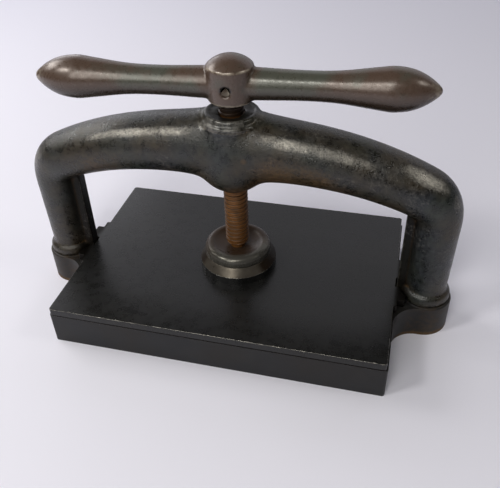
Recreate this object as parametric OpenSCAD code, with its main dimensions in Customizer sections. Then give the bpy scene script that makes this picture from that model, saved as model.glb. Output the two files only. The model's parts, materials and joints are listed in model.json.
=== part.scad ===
// Small cast-iron screw press for books: a bed, an arch, and a platen that a hand-turned screw lifts.
// Millimetres, +Z up, origin on the ground under the screw's axis. The platen is drawn closed on the bed.

/* [Platen] */
// Width of the pressing plate, along X
platen_w = 254; // [220:1:300]
// Depth of the pressing plate, along Y
platen_d = 174.5; // [140:0.5:220]
// Thickness of the pressing plate
platen_t = 6.8; // [6:0.1:12]
// Rounding of the plate's upright corners
platen_corner_r = 2; // [1:0.5:6]
// Length of each guide ear along the plate's short side
ear_l = 56; // [48:1:80]
// How far an ear stands out of the plate's short side
ear_reach = 2.6; // [1.5:0.1:4]
// Length of the fork on each ear that holds a guide rib
fork_l = 40.8; // [34:0.2:46]
// How far a fork stands out of the plate's short side
fork_reach = 8; // [6:0.1:9]
// Rounding of the corners of ears and forks
ear_corner_r = 1.5; // [1:0.1:2.5]
// Diameter of the raised round pad in the middle of the plate
pad_d = 61; // [58:0.5:70]
// Height of the raised pad
pad_h = 6.6; // [3:0.1:8]

/* [Bed] */
// How far the bed stands out past the platen at each short side
bed_margin = 1.2; // [0.5:0.1:4]
// How far the bed's front and back stand behind the platen's
bed_setback = 0.5; // [0:0.1:3]
// Height of the bed
bed_h = 26.6; // [22:0.1:34]
// Thickness of the bed's pressing plate
bed_plate_t = 10; // [7:0.5:13]
// Thickness of the wall round the bed's hollow underside
bed_rim_t = 10; // [7:0.5:14]
// Thickness of the stiffening ribs under the bed
bed_rib_t = 8; // [6:0.5:14]
// How far the ribs stop short of the ground
bed_rib_lift = 3; // [1:0.5:6]
// Rounding of the corners of the hollow underside
bed_pocket_r = 6; // [3:0.5:10]

/* [Lugs] */
// Distance from the platen's short side to the axis of a leg
leg_offset = 23; // [21:0.1:28]
// Radius of the round lug under a leg
lug_r = 19.9; // [19.2:0.1:22]
// How far a lug stands above the bed
lug_rise = 0.6; // [0.2:0.1:4]
// Rounding of a lug's top edge
lug_edge_r = 1.8; // [0.5:0.1:2]
// Radius of the hollow curve from a lug to the bed's side
lug_fillet_r = 19.5; // [8:0.5:24]

/* [Arch] */
// Radius of a leg at its foot
leg_foot_r = 14.9; // [14:0.1:16.5]
// Radius of a leg at the top of its straight part
leg_top_r = 16.5; // [14:0.1:18.5]
// Length of a leg's straight part above the lug
leg_l = 70.8; // [64:0.2:100]
// Radius of the shoulder bend, at the middle of the section
bend_r = 22; // [20:0.5:30]
// Angle through which a shoulder turns
bend_turn = 66; // [60:1:72]
// Height of the arch's middle line above the start of the bend
crown_rise = 43; // [39:0.5:54]
// Half height of an arm where it leaves the shoulder
arm_r = 18.9; // [16:0.1:20]
// Half depth of an arm where it leaves the shoulder
arm_depth_r = 20; // [16:0.1:22]
// Radius of an arm's section carried on to the middle of the arch
crown_r = 24.4; // [20:0.1:25.4]
// How much taller the arms swell where they run into the middle boss
crown_swell = 3.4; // [1:0.1:5]
// Distance from the middle over which that swelling dies away
swell_w = 30; // [20:0.5:36]
// Radius of the round bead at the foot of a leg
bead_r = 18.2; // [17:0.1:18.4]
// Height of the bead
bead_h = 8.6; // [5:0.1:12]
// Width of the guide rib down the inside of a leg
rib_w = 10; // [7:0.1:14]
// How far the guide rib runs up into the shoulder, past the start of the bend
rib_rise = 8; // [5:0.5:12]

/* [Boss] */
// Largest radius of the middle boss
boss_r = 26.6; // [24.5:0.1:30]
// Depth of the boss below the arch's middle line
boss_drop = 34.5; // [30:0.5:38]
// Radius of the flat lower end of the boss
boss_nose_r = 12.4; // [11.5:0.1:15]
// Radius of the collar round the screw on top of the boss
boss_collar_r = 20; // [17:0.1:22]
// Height of that collar
boss_collar_h = 8.2; // [5.5:0.1:12]
// Height of the round bead on the collar's top
boss_bead_h = 4.2; // [3:0.1:5]
// How far the collar's lower bead stands out past the upper
boss_ring = 2.6; // [0.6:0.1:4]
// Height of the boss's top above the arch's middle line
boss_rise = 27.4; // [25:0.1:36]
// Depth of the shallow dish in the collar's top
boss_dish = 1.6; // [0.8:0.1:3]

/* [Screw] */
// Diameter of the screw over its thread
screw_d = 18.4; // [16:0.1:20]
// Diameter of the plain neck below the thread
neck_d = 11; // [9:0.1:12]
// How far the thread's lower end stands above the collar cap's rim
neck_show = 0.7; // [0.5:0.1:10]
// Height and depth of the slope at the thread's lower end
thread_slope = 1; // [0.5:0.1:3.6]
// Diameter of the button on the screw's foot
button_d = 14.6; // [13.5:0.1:15]
// Thickness of the button
button_t = 2.4; // [2:0.1:4]
// Diameter of the tenon that fits into the handle
tenon_d = 14; // [11:0.1:15]
// Length of that tenon
tenon_l = 20; // [18:0.1:23]

/* [Collar] */
// Height of the turned flange that is screwed to the platen's pad
flange_h = 6.4; // [4:0.1:8]
// Radius at the top of the flange's sloping edge
flange_top_r = 26.2; // [25.2:0.1:28]
// Radius in the groove between the flange and the cap
groove_r = 24.6; // [24.4:0.1:25]
// Height of that groove
groove_h = 0.8; // [0.5:0.1:1.5]
// Radius of the cap's thread and of the flange's hole
cap_thread_r = 19; // [17:0.1:19.2]
// Outer radius of the dished cap
cap_r = 26.3; // [24.8:0.1:27]
// Height of the cap's rim above the groove
cap_h = 7.6; // [6.6:0.1:9]
// Rounding of the cap's rim
cap_rim_r = 5; // [1.5:0.1:5.4]
// Depth of the dish inside the rim
cap_dish = 3.4; // [2:0.1:3.6]
// Thickness of the cap's roof at the neck
cap_roof_t = 2.2; // [1.8:0.1:3]
// Radius of the chamber for the screw's foot
chamber_r = 11; // [10:0.1:13]
// Thickness of the hard disc that the screw's foot bears on
thrust_t = 2; // [1.5:0.1:3]
// Diameter of the two spanner holes in the cap's dish
spanner_hole_d = 2.4; // [1.5:0.1:3]
// Distance of the spanner holes from the axis
spanner_hole_at = 14.6; // [13:0.1:16]
// Direction of the front spanner hole from the axis, measured from the X axis
spanner_hole_turn = -104; // [-180:1:180]

/* [Handle] */
// Length of the handle from tip to tip
handle_l = 278; // [240:0.2:320]
// Diameter of an arm where it leaves the hub
handle_root_d = 22; // [20:0.2:24]
// Diameter of an arm at its waist
waist_d = 20.2; // [18:0.2:22]
// Distance of the waist from the axis
waist_at = 48; // [40:0.5:60]
// Diameter of the swelling near an arm's end
grip_d = 29.8; // [26:0.2:34]
// Distance of the swelling from the arm's tip
grip_from_tip = 30.5; // [28:0.5:38]
// Diameter of the small flat at an arm's tip
tip_d = 4; // [3:0.1:6]
// Diameter of the hub
hub_d = 32.6; // [29:0.2:36]
// Height of the hub's straight side
hub_h = 24; // [23.5:0.5:32]
// Height of the dome on the hub
dome_h = 7; // [5:0.5:10]
// Rounding of the hub's lower edge
hub_edge_r = 2; // [0.5:0.5:4]
// Gap between the hub and the boss when the press is closed
hub_gap = 8.2; // [4:0.1:14]
// Height of the arms' axis above the hub's lower end
handle_rise = 11.4; // [11.2:0.1:14]
// Turn of the handle from the X axis when the press is closed
handle_turn = 4.9; // [0:0.1:45]
// Diameter of the cross pin through hub and screw
cross_pin_d = 6; // [4:0.1:7]
// How far the cross pin lies below the arms' axis
pin_drop = 0.4; // [0:0.1:3]
// Turn of the cross pin from the Y axis when the press is closed
pin_turn = 2.5; // [-10:0.1:45]
// Diameter of the cross pin's hole at the hub's face
pin_mouth_d = 8.6; // [7.5:0.1:10]
// How far the cross pin's ends lie behind the hub's face
pin_recess = 1.4; // [0.2:0.1:2]

/* [Fasteners] */
// Diameter of the stud in each leg
stud_d = 10; // [8:0.1:12]
// Depth of a stud in its leg
stud_depth = 26; // [18:0.5:40]
// Outer diameter of the washer under a lug
washer_d = 24; // [22:0.5:25]
// Thickness of the washer
washer_t = 2; // [1.5:0.1:3]
// Width across the flats of the square nut
nut_w = 16; // [14:0.5:17]
// Height of the nut
nut_h = 8; // [6:0.5:9]
// Diameter of the four screws that hold the flange
flange_screw_d = 3.2; // [2.6:0.1:3.4]
// Head diameter of those screws
flange_screw_head_d = 4.8; // [4:0.1:4.9]
// Length of those screws
flange_screw_l = 12; // [10:0.5:13]

/* [Fits] */
// Radial clearance of turning and fixed round fits
round_fit = 0.05; // [0.02:0.01:0.1]
// Clearance on each flank of the guide ribs in the platen's notches
guide_gap = 0.4; // [0.2:0.1:1]
// Clearance between the guide ribs' faces and the bottoms of those notches
rib_gap = 0.9; // [0.3:0.1:2]
// Clearance between the platen's ears and the lugs
lug_gap = 0.8; // [0.4:0.1:1.5]
// Clearance round the neck, the loose keepers and the fasteners
loose_gap = 0.4; // [0.2:0.1:0.8]

/* [Hidden] */
$fn = 64;

iron_black = "#302f2d";
iron_brown = "#4a4540";
steel_worn = "#8d8474";
steel_rust = "#6b4423";
steel_dark = "#5a554e";

LEFT = -1;
RIGHT = 1;

// Plan of the bed and the legs
leg_x = platen_w / 2 + leg_offset;
bed_w = platen_w + 2 * bed_margin;
bed_d = platen_d - 2 * bed_setback;
rib_face_x = platen_w / 2 + rib_gap;

// Heights, from the ground up
lug_top = bed_h + lug_rise;
platen_top = bed_h + platen_t;
pad_top = platen_top + pad_h;
foot_z = pad_top + thrust_t;
flange_top = pad_top + flange_h;
cap_z = flange_top + groove_h;
cap_top = cap_z + cap_h;
thread_z = cap_top + neck_show;
bend_z = lug_top + leg_l;
crown_z = bend_z + crown_rise;
boss_bottom = crown_z - boss_drop;
boss_top = crown_z + boss_rise;
hub_z = boss_top + hub_gap;
handle_z = hub_z + handle_rise;

// The arch's middle line: an upright leg, a round shoulder, and an arm that flattens towards the crown
bend_end_x = leg_x - bend_r * (1 - cos(bend_turn));
bend_end_z = bend_z + bend_r * sin(bend_turn);
arm_drop = crown_z - bend_end_z;
arm_power = tan(90 - bend_turn) * bend_end_x / arm_drop;
bend_steps = 7;
arm_steps = 12;
arch_sides = 32;

// The nut's hole in a lug, seen from below
nut_recess_r = max(nut_w * sqrt(2), washer_d) / 2 + loose_gap;
nut_recess_h = nut_h + washer_t + 1;
flange_screw_at = (cap_thread_r + groove_r) / 2;

// Points of a smooth curve through the stations p, each [place, value]
function slope(p, i) =
    let (a = max(i - 1, 0), b = min(i + 1, len(p) - 1)) (p[b][1] - p[a][1]) / (p[b][0] - p[a][0]);
function hermite(p, i, t) =
    let (d = p[i + 1][0] - p[i][0])
    (2 * t ^ 3 - 3 * t ^ 2 + 1) * p[i][1] + (t ^ 3 - 2 * t ^ 2 + t) * d * slope(p, i)
    + (3 * t ^ 2 - 2 * t ^ 3) * p[i + 1][1] + (t ^ 3 - t ^ 2) * d * slope(p, i + 1);
function smooth(p, steps) = [
    for (i = [0 : len(p) - 2]) for (k = [0 : steps - 1])
        [p[i][0] + (p[i + 1][0] - p[i][0]) * k / steps, hermite(p, i, k / steps)],
    p[len(p) - 1]
];
function arc(cx, cy, r, from, to, steps) = [
    for (k = [0 : steps]) let (a = from + (to - from) * k / steps) [cx + r * cos(a), cy + r * sin(a)]
];

// Flat plate with rounded upright corners, standing on z
module rounded_plate(w, d, z, h, r) {
    translate([-w / 2 + r, -d / 2, z]) cube([w - 2 * r, d, h]);
    translate([-w / 2, -d / 2 + r, z]) cube([w, d - 2 * r, h]);
    for (x = [-1, 1]) for (y = [-1, 1])
        translate([x * (w / 2 - r), y * (d / 2 - r), z]) cylinder(r = r, h = h);
}

module disc(r, z, h) {
    translate([0, 0, z]) cylinder(r = r, h = h);
}

// Bed casting
module lug_profile() {
    square([lug_r - lug_edge_r, lug_top]);
    square([lug_r, lug_top - lug_edge_r]);
    translate([lug_r - lug_edge_r, lug_top - lug_edge_r]) circle(lug_edge_r);
}

module lug_web() {
    side = bed_w / 2;
    translate([side - bed_margin, -lug_r]) square([leg_x - side + bed_margin, 2 * lug_r]);
    for (y = [-1, 1]) scale([1, y]) difference() {
        translate([side - bed_margin, 0]) square([lug_fillet_r + bed_margin, lug_r + lug_fillet_r]);
        translate([side + lug_fillet_r, lug_r + lug_fillet_r]) circle(lug_fillet_r);
    }
}

module lug(side) {
    mirror([side == LEFT ? 1 : 0, 0, 0]) {
        translate([leg_x, 0, 0]) rotate_extrude() lug_profile();
        linear_extrude(bed_h) lug_web();
    }
}

module bed_hollow() {
    inner_w = bed_w - 2 * bed_rim_t;
    inner_d = bed_d - 2 * bed_rim_t;
    pocket_w = (inner_w - bed_rib_t) / 2;
    pocket_d = (inner_d - bed_rib_t) / 2;
    below = 1;
    rounded_plate(inner_w, inner_d, -below, bed_rib_lift + below, bed_pocket_r);
    for (x = [-1, 1]) for (y = [-1, 1])
        translate([x * (pocket_w + bed_rib_t) / 2, y * (pocket_d + bed_rib_t) / 2, 0])
            rounded_plate(pocket_w, pocket_d, -below, bed_h - bed_plate_t + below, bed_pocket_r);
}

module bed() {
    color(iron_black) difference() {
        union() {
            rounded_plate(bed_w, bed_d, 0, bed_h, platen_corner_r);
            for (side = [LEFT, RIGHT]) lug(side);
        }
        bed_hollow();
        for (side = [LEFT, RIGHT]) translate([side * leg_x, 0, 0]) {
            disc(stud_d / 2 + loose_gap, -1, lug_top + 2);
            disc(nut_recess_r, -1, nut_recess_h + 1);
        }
    }
}

// Arch casting. A station of its sweep is [x, z, direction of the middle line, half height, half depth]
function arm_z(x) = crown_z - arm_drop * (x / bend_end_x) ^ arm_power;
function arm_dir(x) = 180 - atan(arm_drop * arm_power / bend_end_x * (x / bend_end_x) ^ (arm_power - 1));
function arm_height(x) =
    crown_r + (arm_r - crown_r) * x / bend_end_x + crown_swell * exp(-((x / swell_w) ^ 2));
function arm_depth(x) = crown_r + (arm_depth_r - crown_r) * x / bend_end_x;
right_half = [
    [leg_x, lug_top, 90, leg_foot_r, leg_foot_r],
    for (i = [0 : bend_steps]) let (u = i / bend_steps, a = bend_turn * u, ease = u * u * (3 - 2 * u))
        [
            leg_x - bend_r * (1 - cos(a)), bend_z + bend_r * sin(a), 90 + a,
            leg_top_r + (arm_r - leg_top_r) * ease, leg_top_r + (arm_depth_r - leg_top_r) * ease
        ],
    for (i = [1 : arm_steps]) let (x = bend_end_x * (1 - i / arm_steps))
        [x, arm_z(x), arm_dir(x), arm_height(x), arm_depth(x)]
];
left_half = [
    for (i = [len(right_half) - 2 : -1 : 0]) let (s = right_half[i]) [-s[0], s[1], 360 - s[2], s[3], s[4]]
];
stations = concat(right_half, left_half);

function ring(s) = [
    for (k = [0 : arch_sides - 1]) let (a = 360 * k / arch_sides, out = s[3] * cos(a), n = s[2] - 90)
        [s[0] + out * cos(n), s[4] * sin(a), s[1] + out * sin(n)]
];

module arch_sweep() {
    last = len(stations) - 1;
    points = [for (s = stations) each ring(s)];
    sides = [
        for (i = [0 : last - 1]) for (k = [0 : arch_sides - 1])
            let (a = i * arch_sides, b = a + arch_sides, n = (k + 1) % arch_sides)
            each [[a + k, b + k, b + n], [a + k, b + n, a + n]]
    ];
    first_cap = [for (k = [0 : arch_sides - 1]) k];
    last_cap = [for (k = [arch_sides - 1 : -1 : 0]) last * arch_sides + k];
    polyhedron(points = points, faces = concat(sides, [first_cap, last_cap]));
}

module boss() {
    neck_z = boss_top - boss_collar_h;
    bead_e = boss_bead_h / 2;
    ring_r = boss_collar_r + boss_ring;
    ring_e = (boss_collar_h - boss_bead_h) / 2;
    body = smooth([
        [boss_bottom, boss_nose_r],
        [boss_bottom + (crown_z - boss_bottom) * 0.3, boss_r - (boss_r - boss_nose_r) * 0.2],
        [crown_z - (crown_z - boss_bottom) * 0.25, boss_r],
        [crown_z + (neck_z - crown_z) * 0.4, boss_r - (boss_r - boss_collar_r) * 0.3],
        [neck_z, boss_collar_r]
    ], 5);
    rotate_extrude() polygon(concat(
        [[0, boss_bottom]],
        [for (p = body) [p[1], p[0]]],
        arc(ring_r - ring_e, neck_z + ring_e, ring_e, -90, 90, 9),
        arc(boss_collar_r - bead_e, boss_top - bead_e, bead_e, -90, 120, 9),
        [[boss_collar_r - 2 * bead_e, boss_top - boss_dish], [0, boss_top - boss_dish]]
    ));
}

module leg_foot(side) {
    edge = bead_h / 2;
    translate([side * leg_x, 0, lug_top]) rotate_extrude() {
        square([bead_r, bead_h - edge]);
        square([bead_r - edge, bead_h]);
        translate([bead_r - edge, bead_h - edge]) circle(edge);
    }
}

module guide_rib(side) {
    mirror([side == LEFT ? 1 : 0, 0, 0]) translate([rib_face_x, -rib_w / 2, lug_top])
        cube([leg_x - rib_face_x, rib_w, leg_l + rib_rise]);
}

module arch() {
    color(iron_black) difference() {
        union() {
            arch_sweep();
            boss();
            for (side = [LEFT, RIGHT]) {
                leg_foot(side);
                guide_rib(side);
            }
        }
        disc(screw_d / 2 + round_fit, boss_bottom - 1, boss_top - boss_bottom + 2);
        for (side = [LEFT, RIGHT])
            translate([side * leg_x, 0, 0]) disc(stud_d / 2 + round_fit, lug_top - 1, stud_depth + 2);
    }
}

// Fasteners under the lugs
module leg_stud(side) {
    end = 1;
    color(steel_dark) translate([side * leg_x, 0, 0]) disc(stud_d / 2, end, lug_top + stud_depth - end);
}

module leg_washer(side) {
    color(steel_dark) translate([side * leg_x, 0, 0]) difference() {
        disc(washer_d / 2, nut_recess_h - washer_t, washer_t);
        disc(stud_d / 2 + loose_gap, 0, nut_recess_h + 1);
    }
}

module leg_nut(side) {
    z = nut_recess_h - washer_t - nut_h;
    color(steel_dark) translate([side * leg_x, 0, 0]) difference() {
        translate([-nut_w / 2, -nut_w / 2, z]) cube([nut_w, nut_w, nut_h]);
        disc(stud_d / 2 + round_fit, 0, nut_recess_h);
    }
}

// Platen and the collar that carries it on the screw
module flange_screw_places() {
    for (x = [-1, 1]) for (y = [-1, 1]) rotate(atan2(y, x)) translate([flange_screw_at, 0, 0]) children();
}

module flange_screw_shape(extra) {
    head_h = (flange_screw_head_d - flange_screw_d) / 2;
    translate([0, 0, flange_top - flange_screw_l]) cylinder(d = flange_screw_d + extra, h = flange_screw_l);
    translate([0, 0, flange_top - head_h])
        cylinder(d1 = flange_screw_d + extra, d2 = flange_screw_head_d + extra, h = head_h);
    disc((flange_screw_head_d + extra) / 2, flange_top, extra);
}

module platen() {
    tall = pad_top - bed_h + 2;
    color(iron_black) difference() {
        union() {
            rounded_plate(platen_w, platen_d, bed_h, platen_t, platen_corner_r);
            rounded_plate(platen_w + 2 * ear_reach, ear_l, bed_h, platen_t, ear_corner_r);
            rounded_plate(platen_w + 2 * fork_reach, fork_l, bed_h, platen_t, ear_corner_r);
            disc(pad_d / 2, bed_h, platen_t + pad_h);
        }
        for (side = [LEFT, RIGHT]) {
            translate([side * leg_x, 0, 0]) disc(lug_r + lug_gap, bed_h - 1, tall);
            translate([side * leg_x, 0, bed_h + tall / 2 - 1])
                cube([2 * leg_offset, rib_w + 2 * guide_gap, tall], center = true);
        }
        flange_screw_places() flange_screw_shape(2 * round_fit);
    }
}

module collar_flange() {
    color(steel_worn) difference() {
        rotate_extrude() polygon([
            [cap_thread_r + round_fit, pad_top], [pad_d / 2, pad_top], [flange_top_r, flange_top],
            [groove_r, flange_top], [groove_r, cap_z], [cap_thread_r + round_fit, cap_z]
        ]);
        flange_screw_places() {
            flange_screw_shape(2 * round_fit);
            disc(flange_screw_head_d / 2 + round_fit, flange_top, groove_h + 1);
        }
    }
}

module collar_cap() {
    hole_r = neck_d / 2 + loose_gap;
    dish_z = cap_top - cap_dish;
    roof_z = dish_z - cap_roof_t;
    skirt_z = pad_top + loose_gap;
    rim_from = 0;
    rim_to = 130;
    rim = arc(cap_r - cap_rim_r, cap_top - cap_rim_r, cap_rim_r, rim_from, rim_to, 10);
    rim_end = rim[len(rim) - 1];
    dish = [
        for (k = [9 : -1 : 0]) let (u = k / 10)
            [hole_r + (rim_end[0] - hole_r) * u, dish_z + (rim_end[1] - dish_z) * u ^ 2]
    ];
    color(iron_brown) difference() {
        rotate_extrude() polygon(concat(
            [
                [chamber_r, roof_z], [chamber_r, skirt_z], [cap_thread_r, skirt_z], [cap_thread_r, cap_z],
                [cap_r, cap_z]
            ],
            rim, dish, [[hole_r, roof_z]]
        ));
        for (end = [0, 180]) rotate(spanner_hole_turn + end) translate([spanner_hole_at, 0, 0])
            disc(spanner_hole_d / 2, roof_z, cap_dish + cap_roof_t + 1);
    }
}

module thrust_disc() {
    color(steel_worn) disc(chamber_r - loose_gap, pad_top, thrust_t);
}

module keeper(front) {
    roof_z = cap_top - cap_dish - cap_roof_t;
    bottom = foot_z + button_t + round_fit;
    half = chamber_r + 1;
    split = loose_gap / 2;
    color(steel_worn) difference() {
        disc(chamber_r - loose_gap / 2, bottom, roof_z - bottom);
        disc(neck_d / 2 + round_fit, bottom - 1, roof_z - bottom + 2);
        translate([-half, front ? -split : split - half, bottom - 1]) cube([2 * half, half, roof_z]);
    }
}

module flange_screw(x, y) {
    slot_w = flange_screw_head_d / 5;
    slot_h = (flange_screw_head_d - flange_screw_d) / 3;
    color(steel_dark) rotate(atan2(y, x)) translate([flange_screw_at, 0, 0]) difference() {
        flange_screw_shape(0);
        translate([-flange_screw_head_d, -slot_w / 2, flange_top - slot_h])
            cube([2 * flange_screw_head_d, slot_w, 2 * slot_h]);
    }
}

// Screw and handle, which turn as one
module across_hub() {
    rotate(pin_turn) translate([0, 0, handle_z - pin_drop]) rotate([90, 0, 0]) children();
}

module screw() {
    r = screw_d / 2;
    color(steel_rust) difference() {
        rotate_extrude() polygon([
            [0, foot_z], [button_d / 2, foot_z],
            [button_d / 2, foot_z + button_t], [neck_d / 2, foot_z + button_t],
            [neck_d / 2, thread_z], [r - thread_slope, thread_z], [r, thread_z + thread_slope], [r, hub_z],
            [tenon_d / 2, hub_z], [tenon_d / 2, hub_z + tenon_l], [0, hub_z + tenon_l]
        ]);
        across_hub() cylinder(d = cross_pin_d + 2 * round_fit, h = hub_d, center = true);
    }
}

module handle_bar() {
    half = handle_l / 2;
    grip_at = half - grip_from_tip;
    nub = 1.4;
    side = smooth([
        [0, handle_root_d / 2], [hub_d / 2, handle_root_d / 2], [waist_at, waist_d / 2],
        [(2 * grip_at + 3 * waist_at) / 5, waist_d / 2 + (grip_d - waist_d) * 0.06],
        [grip_at - grip_from_tip / 3, grip_d / 2 - (grip_d - waist_d) * 0.11],
        [grip_at, grip_d / 2],
        [half - grip_from_tip * 0.6, grip_d * 0.44],
        [half - grip_from_tip * 0.3, grip_d * 0.3],
        [half - nub, tip_d / 2 + nub]
    ], 6);
    outline = concat(side, [[half - nub, tip_d / 2], [half, tip_d / 2]]);
    rotate([0, 90, 0]) rotate_extrude() polygon(concat(
        [[0, -half]],
        [for (i = [len(outline) - 1 : -1 : 1]) [outline[i][1], -outline[i][0]]],
        [for (p = outline) [p[1], p[0]]],
        [[0, half]]
    ));
}

module handle_hub() {
    r = hub_d / 2;
    dome_r = (r * r + dome_h * dome_h) / (2 * dome_h);
    dome = arc(0, hub_z + hub_h + dome_h - dome_r, dome_r, asin((dome_r - dome_h) / dome_r), 90, 10);
    rotate_extrude() polygon(concat(
        [[0, hub_z]],
        arc(r - hub_edge_r, hub_z + hub_edge_r, hub_edge_r, -90, 0, 6),
        [[r, hub_z + hub_h]],
        [for (i = [1 : len(dome) - 2]) dome[i]],
        [[0, hub_z + hub_h + dome_h]]
    ));
}

module handle() {
    color(iron_brown) difference() {
        union() {
            rotate(handle_turn) translate([0, 0, handle_z]) handle_bar();
            handle_hub();
        }
        disc(tenon_d / 2 + round_fit, hub_z - 1, tenon_l + 1 + loose_gap);
        across_hub() {
            cylinder(d = cross_pin_d + 2 * round_fit, h = hub_d + 2, center = true);
            for (end = [0, 180]) rotate([end, 0, 0]) translate([0, 0, hub_d / 2 - pin_recess])
                cylinder(d1 = cross_pin_d + 2 * round_fit, d2 = pin_mouth_d, h = pin_recess + 0.1);
        }
    }
}

module cross_pin() {
    color(steel_dark) across_hub() cylinder(d = cross_pin_d, h = hub_d - 2 * pin_recess, center = true);
}

bed();
arch();
leg_stud(LEFT);  // left_leg_stud
leg_stud(RIGHT);  // right_leg_stud
leg_washer(LEFT);  // left_leg_washer
leg_washer(RIGHT);  // right_leg_washer
leg_nut(LEFT);  // left_leg_nut
leg_nut(RIGHT);  // right_leg_nut
platen();
collar_flange();
collar_cap();
thrust_disc();
keeper(true);  // front_keeper
keeper(false);  // rear_keeper
flange_screw(-1, -1);  // front_left_flange_screw
flange_screw(1, -1);  // front_right_flange_screw
flange_screw(-1, 1);  // rear_left_flange_screw
flange_screw(1, 1);  // rear_right_flange_screw
screw();
handle();
cross_pin();
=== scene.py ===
# %% [markdown]
# # A small cast-iron book press
#
# The press is a few heavy castings: a bed, an arch that stands on it, and a platen that a screw lifts.
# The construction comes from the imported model, which stays exactly where it is. This lesson gives it its
# looks: the soft edges of sand castings, the cut thread of the screw, and iron that was japanned black
# long ago.

# %% Load the frame
import json
import math

import bmesh
import bpy
import numpy as np
from mathutils import Matrix, Vector

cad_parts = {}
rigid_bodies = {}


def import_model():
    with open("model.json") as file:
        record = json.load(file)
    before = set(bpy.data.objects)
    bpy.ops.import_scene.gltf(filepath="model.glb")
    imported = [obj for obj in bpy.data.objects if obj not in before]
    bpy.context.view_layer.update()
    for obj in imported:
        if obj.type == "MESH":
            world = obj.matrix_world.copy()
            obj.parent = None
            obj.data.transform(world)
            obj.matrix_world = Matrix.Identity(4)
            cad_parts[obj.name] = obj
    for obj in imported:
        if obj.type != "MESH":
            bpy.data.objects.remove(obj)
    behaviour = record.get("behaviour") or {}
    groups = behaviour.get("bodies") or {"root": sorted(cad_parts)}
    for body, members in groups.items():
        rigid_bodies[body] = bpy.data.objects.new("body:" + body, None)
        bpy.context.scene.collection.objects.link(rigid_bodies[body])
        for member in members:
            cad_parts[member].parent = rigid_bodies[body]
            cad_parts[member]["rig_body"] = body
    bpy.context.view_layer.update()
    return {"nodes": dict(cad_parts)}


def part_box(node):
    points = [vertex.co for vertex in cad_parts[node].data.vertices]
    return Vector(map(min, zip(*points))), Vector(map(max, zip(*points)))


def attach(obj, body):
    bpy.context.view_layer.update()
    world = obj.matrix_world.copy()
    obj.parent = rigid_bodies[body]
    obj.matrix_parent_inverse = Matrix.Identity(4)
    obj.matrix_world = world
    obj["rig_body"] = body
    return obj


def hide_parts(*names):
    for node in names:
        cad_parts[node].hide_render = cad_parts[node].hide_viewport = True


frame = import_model()
nodes = frame["nodes"]
scene = bpy.context.scene
MM = 0.001

# %% [markdown]
# ## The camera
#
# The photograph was taken close up, a little to the right of the middle and looking down at the platen.
# The camera stands at that eye point. Its three turns, in radians, are given one by one, so each can be
# checked by itself.

# %% Camera
PHOTO_WIDTH_PX = 500
FOCAL_PX = 626.2
SENSOR_MM = 36
EYE = Vector((113.2, -382.7, 361.1)) * MM
YAW = 0.2635
PITCH = 0.6624
ROLL = -0.033

ahead = Vector((-math.sin(YAW) * math.cos(PITCH), math.cos(YAW) * math.cos(PITCH), -math.sin(PITCH)))
level = Vector((math.cos(YAW), math.sin(YAW), 0))
upright = level.cross(ahead)
right = level * math.cos(ROLL) + upright * math.sin(ROLL)
up = upright * math.cos(ROLL) - level * math.sin(ROLL)

camera = bpy.data.objects.new("camera", bpy.data.cameras.new("camera"))
camera.data.sensor_width = SENSOR_MM
camera.data.lens = FOCAL_PX / PHOTO_WIDTH_PX * SENSOR_MM
camera.data.clip_start = 10 * MM
camera.matrix_world = Matrix.Translation(EYE) @ Matrix((right, up, -ahead)).transposed().to_4x4()
scene.collection.objects.link(camera)
scene.camera = camera
print("lens:", round(camera.data.lens, 2), "mm")

# %% [markdown]
# ## Nodes and colours
#
# Every finish below is a small tree of shader nodes. A few helpers are enough for all of them: one turns
# the hex colours that people write into the linear values that a renderer adds up, one adds a node with
# its settings and links, and one turns a size in millimetres into a pattern's scale.

# %% Helpers for finishes
# A Mix node that works on colours has sockets whose names repeat, so they are picked by number.
SHARE, UNDER, OVER = 0, 6, 7
COLOURS = {"data_type": "RGBA", "out": 2}


def linear(code):
    """The linear colour of an sRGB hex value such as '#302f2d'."""
    shares = [int(code[i:i + 2], 16) / 255 for i in (1, 3, 5)]
    return [s / 12.92 if s <= 0.04045 else ((s + 0.055) / 1.055) ** 2.4 for s in shares] + [1]


def plug(tree, node, inputs):
    """Gives a node its inputs: each is a value, or the output of another node."""
    for name, value in inputs.items():
        if isinstance(value, bpy.types.NodeSocket):
            tree.links.new(value, node.inputs[name])
        else:
            node.inputs[name].default_value = value


def add(tree, kind, inputs=None, out=0, **settings):
    """Adds a node with its own settings and its inputs, and hands on one of its outputs."""
    node = tree.nodes.new("ShaderNode" + kind)
    for name, value in settings.items():
        setattr(node, name, value)
    plug(tree, node, inputs or {})
    return node.outputs[out]


def per_mm(size):
    """The texture scale at which a pattern repeats about every size millimetres."""
    return 1 / (size * MM)


def new_finish(name):
    """An empty material with its shader, and the place on the piece in metres."""
    material = bpy.data.materials.new(name)
    material.use_nodes = True
    tree = material.node_tree
    return material, tree, tree.nodes["Principled BSDF"], add(tree, "TexCoord", out="Object")


print("helpers ready")

# %% [markdown]
# ## The stage
#
# The press stands on pale paper in a pale, dim room. The paper is a plain sheet that reaches far past the
# picture: matt, so that it shows soft shadows and no gloss. The room is one even colour.

# %% Floor and room
FLOOR_REACH = 4000 * MM
floor_mesh = bpy.data.meshes.new("paper_floor")
corners = [(-1, -1), (1, -1), (1, 1), (-1, 1)]
floor_mesh.from_pydata([(x * FLOOR_REACH, y * FLOOR_REACH, 0) for x, y in corners], [], [range(4)])
floor = bpy.data.objects.new("paper_floor", floor_mesh)
scene.collection.objects.link(floor)

paper, tree, shader, _ = new_finish("matt_lavender_paper")
plug(tree, shader, {"Base Color": linear("#f0effa"), "Roughness": 0.9, "Specular IOR Level": 0.1})
floor_mesh.materials.append(paper)

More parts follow.
